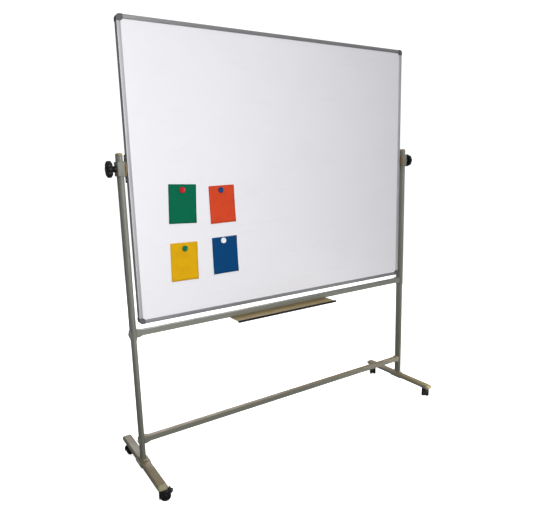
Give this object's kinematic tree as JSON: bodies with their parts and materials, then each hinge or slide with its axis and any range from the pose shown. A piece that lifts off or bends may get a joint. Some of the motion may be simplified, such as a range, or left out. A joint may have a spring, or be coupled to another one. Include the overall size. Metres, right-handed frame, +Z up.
{
  "type": "mobile revolving whiteboard",
  "caption": "Rolling double-sided whiteboard that turns over on side pivots with clamping knobs, on an H-shaped tube stand with swivel castors, a pen tray, and cards held by magnets.",
  "frame": {"origin": "on the floor, under the middle of the stand", "axes": "+X along the board to its right as a person in front reads it, +Y from the front of the board to the back, +Z up"},
  "size_m": [1.6576, 0.48, 1.8755],
  "materials": {
    "writing_enamel": "hard glossy white enamel that takes dry-wipe ink and magnets",
    "core_board": "plain fibreboard, edges unfinished",
    "anodised_rail": "satin anodised extrusion with fine drawing lines",
    "corner_plastic": "moulded dark grey plastic, satin",
    "pivot_steel": "dark painted steel",
    "stand_paint": "grey-beige powder coat, slight orange peel",
    "cap_plastic": "moulded beige plastic, satin",
    "black_plastic": "moulded black plastic, fine texture",
    "friction_fibre": "tan-brown friction fibre, matt",
    "tray_paint": "tan painted sheet steel",
    "card_green": "coloured card, matt",
    "card_orange": "coloured card, matt",
    "card_yellow": "coloured card, matt",
    "card_blue": "coloured card, matt",
    "magnet_red": "glossy moulded button",
    "magnet_blue": "glossy moulded button",
    "magnet_green": "glossy moulded button",
    "magnet_white": "glossy moulded button"
  },
  "bodies": {
    "stand": {"foot_left": "stand_paint", "foot_plug_front_left": "cap_plastic", "foot_plug_front_right": "cap_plastic", "foot_plug_rear_left": "cap_plastic", "foot_plug_rear_right": "cap_plastic", "foot_right": "stand_paint", "foot_saddle_left": "stand_paint", "foot_saddle_right": "stand_paint", "friction_disc_left": "friction_fibre", "friction_disc_right": "friction_fibre", "joint_bolt_lower_left": "stand_paint", "joint_bolt_lower_right": "stand_paint", "joint_bolt_upper_left": "stand_paint", "joint_bolt_upper_right": "stand_paint", "lower_crossbar": "stand_paint", "lower_upright_left": "stand_paint", "lower_upright_right": "stand_paint", "pen_tray": "tray_paint", "pen_tray_edge": "black_plastic", "pivot_block_left": "stand_paint", "pivot_block_right": "stand_paint", "upper_crossbar": "stand_paint", "upper_upright_left": "stand_paint", "upper_upright_right": "stand_paint", "upright_cap_left": "cap_plastic", "upright_cap_right": "cap_plastic"},
    "board": {"board_core": "core_board", "card_blue": "card_blue", "card_green": "card_green", "card_orange": "card_orange", "card_yellow": "card_yellow", "corner_cap_bottom_left": "corner_plastic", "corner_cap_bottom_right": "corner_plastic", "corner_cap_top_left": "corner_plastic", "corner_cap_top_right": "corner_plastic", "frame_rail_bottom": "anodised_rail", "frame_rail_left": "anodised_rail", "frame_rail_right": "anodised_rail", "frame_rail_top": "anodised_rail", "front_writing_sheet": "writing_enamel", "magnet_blue": "magnet_blue", "magnet_green": "magnet_green", "magnet_red": "magnet_red", "magnet_white": "magnet_white", "pivot_plate_left": "pivot_steel", "pivot_plate_right": "pivot_steel", "rear_writing_sheet": "writing_enamel"},
    "knob_left": {"knob_left": "black_plastic"},
    "knob_right": {"knob_right": "black_plastic"},
    "castor_front_left": {"castor_housing_front_left": "black_plastic"},
    "wheels_front_left": {"castor_wheels_front_left": "black_plastic"},
    "brake_front_left": {"brake_pedal_front_left": "black_plastic"},
    "castor_front_right": {"castor_housing_front_right": "black_plastic"},
    "wheels_front_right": {"castor_wheels_front_right": "black_plastic"},
    "brake_front_right": {"brake_pedal_front_right": "black_plastic"},
    "castor_rear_left": {"castor_housing_rear_left": "black_plastic"},
    "wheels_rear_left": {"castor_wheels_rear_left": "black_plastic"},
    "castor_rear_right": {"castor_housing_rear_right": "black_plastic"},
    "wheels_rear_right": {"castor_wheels_rear_right": "black_plastic"}
  },
  "joints": [
    {"name": "board_swing", "type": "hinge", "parent": "stand", "child": "board", "pos_m": [0, 0, 1.308], "axis": [1, 0, 0], "continuous": true},
    {"name": "knob_turn_left", "type": "hinge", "parent": "stand", "child": "knob_left", "pos_m": [-0.777, 0, 1.308], "axis": [-1, 0, 0], "range_deg": [0, 360]},
    {"name": "knob_turn_right", "type": "hinge", "parent": "stand", "child": "knob_right", "pos_m": [0.777, 0, 1.308], "axis": [1, 0, 0], "range_deg": [0, 360]},
    {"name": "castor_swivel_front_left", "type": "hinge", "parent": "stand", "child": "castor_front_left", "pos_m": [-0.777, -0.208, 0.05], "axis": [0, 0, 1], "continuous": true},
    {"name": "wheel_roll_front_left", "type": "hinge", "parent": "castor_front_left", "child": "wheels_front_left", "pos_m": [-0.76197, -0.21347, 0.022], "axis": [0.342, 0.9397, 0], "continuous": true},
    {"name": "brake_press_front_left", "type": "hinge", "parent": "castor_front_left", "child": "brake_front_left", "pos_m": [-0.74596, -0.2193, 0.0423], "axis": [0.342, 0.9397, 0], "range_deg": [0, 10]},
    {"name": "castor_swivel_front_right", "type": "hinge", "parent": "stand", "child": "castor_front_right", "pos_m": [0.777, -0.208, 0.05], "axis": [0, 0, 1], "continuous": true},
    {"name": "wheel_roll_front_right", "type": "hinge", "parent": "castor_front_right", "child": "wheels_front_right", "pos_m": [0.78926, -0.19772, 0.022], "axis": [-0.6428, 0.766, 0], "continuous": true},
    {"name": "brake_press_front_right", "type": "hinge", "parent": "castor_front_right", "child": "brake_front_right", "pos_m": [0.80231, -0.18677, 0.0423], "axis": [-0.6428, 0.766, 0], "range_deg": [0, 10]},
    {"name": "castor_swivel_rear_left", "type": "hinge", "parent": "stand", "child": "castor_rear_left", "pos_m": [-0.777, 0.208, 0.05], "axis": [0, 0, 1], "continuous": true},
    {"name": "wheel_roll_rear_left", "type": "hinge", "parent": "castor_rear_left", "child": "wheels_rear_left", "pos_m": [-0.77153, 0.19296, 0.022], "axis": [0.9397, 0.342, 0], "continuous": true},
    {"name": "castor_swivel_rear_right", "type": "hinge", "parent": "stand", "child": "castor_rear_right", "pos_m": [0.777, 0.208, 0.05], "axis": [0, 0, 1], "continuous": true},
    {"name": "wheel_roll_rear_right", "type": "hinge", "parent": "castor_rear_right", "child": "wheels_rear_right", "pos_m": [0.76672, 0.19574, 0.022], "axis": [0.766, -0.6428, 0], "continuous": true}
  ]
}
